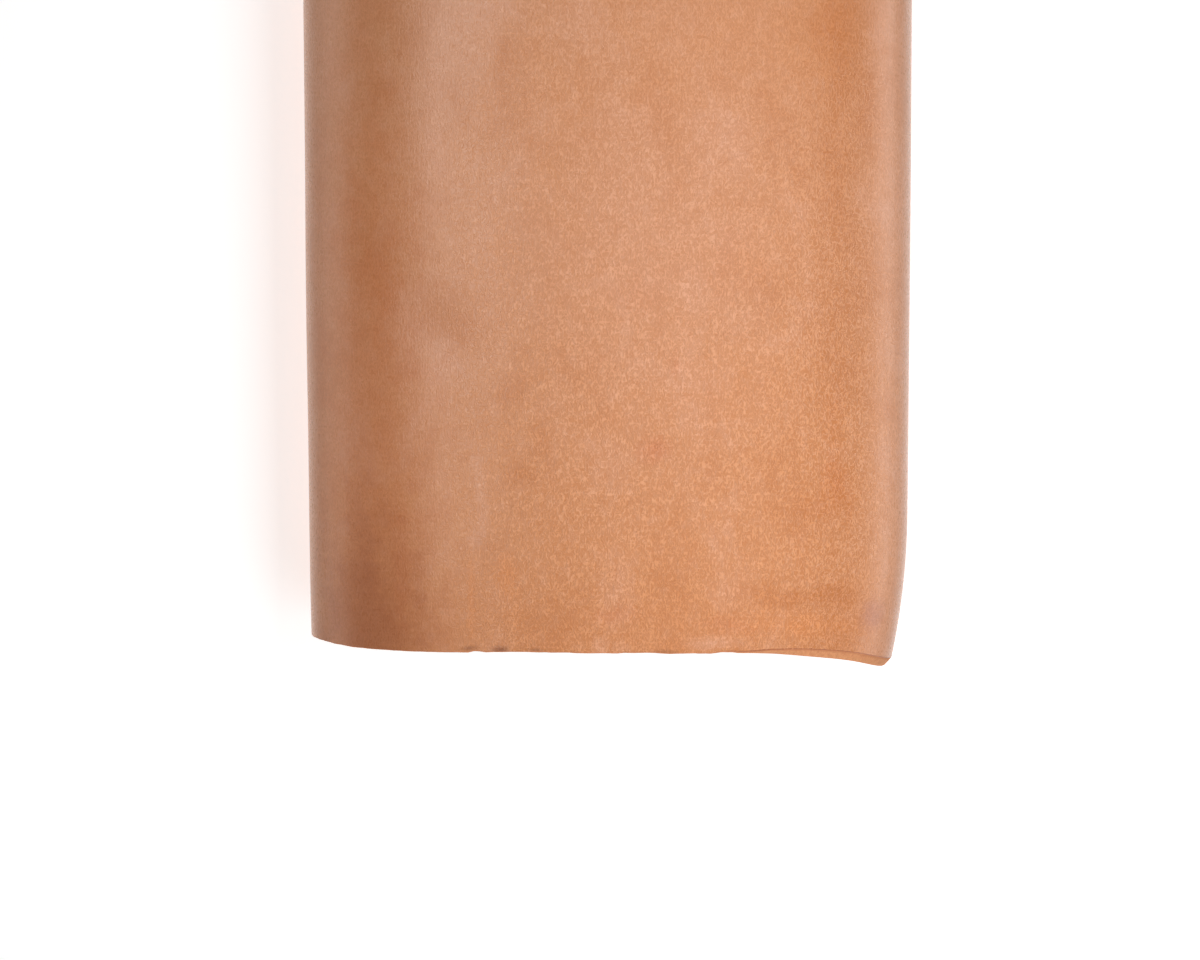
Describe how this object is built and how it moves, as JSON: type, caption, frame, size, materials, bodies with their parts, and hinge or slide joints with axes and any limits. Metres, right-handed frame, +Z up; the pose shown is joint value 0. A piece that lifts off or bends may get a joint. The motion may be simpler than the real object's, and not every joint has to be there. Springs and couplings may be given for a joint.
{
  "type": "rolled leather side",
  "caption": "Side of natural vegetable-tanned leather, grain out, rolled up loosely and lying on its flattened round, with a straight backbone cut at the near end.",
  "frame": {"origin": "on the floor, under the middle of the roll", "axes": "+Y along the roll from the backbone cut to the belly edge, +X across it towards its tighter shoulder, +Z up"},
  "size_m": [0.3058, 1.0132, 0.1202],
  "materials": {
    "leather": "natural tan grain with soft mottling and a low satin sheen, paler napped flesh side, raw cut edge"
  },
  "bodies": {
    "root": {"leather_side": "leather"}
  },
  "joints": []
}
